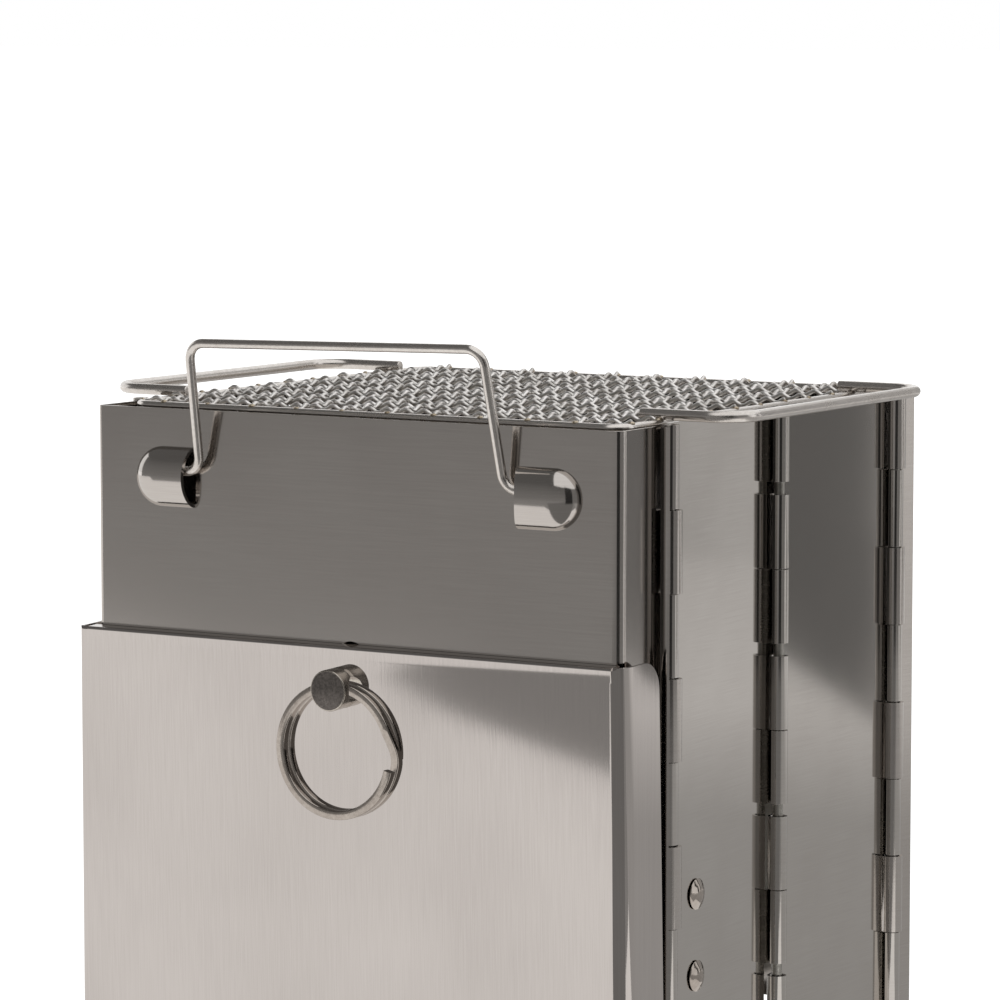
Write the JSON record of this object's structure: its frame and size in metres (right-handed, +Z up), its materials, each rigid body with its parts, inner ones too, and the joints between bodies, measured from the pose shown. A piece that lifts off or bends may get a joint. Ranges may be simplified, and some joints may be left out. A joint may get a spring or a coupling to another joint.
{
  "type": "folding camp stove",
  "caption": "Square upright folding camp stove in stainless sheet with bellows side panels on piano hinges, a drop-down feed door, a wire carrying handle and a woven grill on top.",
  "frame": {"origin": "middle of the overall box, on the ground", "axes": "+X to the right as the door faces the viewer, +Y to the back, +Z up"},
  "size_m": [0.1848, 0.1655, 0.2082],
  "materials": {
    "shell_steel": "stainless sheet brushed across",
    "panel_steel": "stainless sheet, cold rolled and bright",
    "door_steel": "stainless sheet brushed upright, semi-gloss",
    "pin_steel": "drawn wire",
    "bright_wire": "polished stainless wire",
    "net_wire": "woven stainless wire",
    "nickel": "nickel plate, glossy",
    "inner_steel": "plain stainless sheet"
  },
  "bodies": {
    "front": {"front_shell": "shell_steel", "door_hinge_leaf": "shell_steel", "right_front_pin": "pin_steel", "left_front_pin": "pin_steel"},
    "back": {"back_shell": "shell_steel", "right_rear_pin": "pin_steel", "left_rear_pin": "pin_steel", "rear_grate_ledge": "inner_steel", "rear_right_rivet": "nickel", "rear_left_rivet": "nickel"},
    "handle": {"carry_handle": "bright_wire"},
    "door": {"feed_door": "door_steel", "door_hinge_pin": "pin_steel", "door_catch": "nickel", "pull_stud": "nickel"},
    "ring": {"split_ring": "nickel"},
    "grill": {"grill_edge_wire": "bright_wire", "grill_net": "net_wire", "right_grill_handle": "bright_wire", "left_grill_handle": "bright_wire"},
    "tray": {"ash_tray": "inner_steel", "fire_grate": "inner_steel"},
    "right_front": {"right_front_panel": "panel_steel", "right_middle_pin": "pin_steel", "right_grate_ledge": "inner_steel", "right_upper_rivet": "nickel", "right_lower_rivet": "nickel"},
    "right_rear": {"right_rear_panel": "panel_steel"},
    "left_front": {"left_front_panel": "panel_steel", "left_middle_pin": "pin_steel", "left_grate_ledge": "inner_steel", "left_upper_rivet": "nickel", "left_lower_rivet": "nickel"},
    "left_rear": {"left_rear_panel": "panel_steel"}
  },
  "joints": [
    {"name": "right_front_fold", "type": "hinge", "parent": "front", "child": "right_front", "pos_m": [0.076, -0.04838, 0.1104], "axis": [0, 0, 1], "range_deg": [0, 82]},
    {"name": "right_rear_fold", "type": "hinge", "parent": "right_front", "child": "right_rear", "pos_m": [0.07382, 0.01057, 0.1104], "axis": [0, 0, 1], "range_deg": [-164, 0]},
    {"name": "back_fold", "type": "hinge", "parent": "right_rear", "child": "back", "pos_m": [0.076, 0.06953, 0.1104], "axis": [0, 0, 1], "range_deg": [0, 82]},
    {"name": "left_front_fold", "type": "hinge", "parent": "front", "child": "left_front", "pos_m": [-0.076, -0.04838, 0.1104], "axis": [0, 0, 1], "range_deg": [-82, 0]},
    {"name": "left_rear_fold", "type": "hinge", "parent": "left_front", "child": "left_rear", "pos_m": [-0.07382, 0.01057, 0.1104], "axis": [0, 0, 1], "range_deg": [0, 164]},
    {"name": "grill_lift", "type": "slide", "parent": "front", "child": "grill", "axis": [0, 0, 1], "range_m": [0, 0.04]},
    {"name": "tray_slide", "type": "slide", "parent": "front", "child": "tray", "axis": [0, 1, 0], "range_m": [0, 0.15]},
    {"name": "handle_swing", "type": "hinge", "parent": "front", "child": "handle", "pos_m": [0, -0.06978, 0.175], "axis": [1, 0, 0], "range_deg": [-11, 165]},
    {"name": "door_swing", "type": "hinge", "parent": "front", "child": "door", "pos_m": [0, -0.07039, 0.006], "axis": [1, 0, 0], "range_deg": [0, 80]},
    {"name": "ring_swing", "type": "hinge", "parent": "door", "child": "ring", "pos_m": [0.002, -0.07802, 0.12609], "axis": [-1, 0, 0], "range_deg": [-8, 150]}
  ],
  "couplings": [
    {"joint": "right_rear_fold", "follows": "right_front_fold", "ratio": -2},
    {"joint": "back_fold", "follows": "right_front_fold", "ratio": 1},
    {"joint": "left_front_fold", "follows": "right_front_fold", "ratio": -1},
    {"joint": "left_rear_fold", "follows": "right_front_fold", "ratio": 2},
    {"joint": "grill_lift", "follows": "right_front_fold", "m_per_rad": 0.0279}
  ]
}
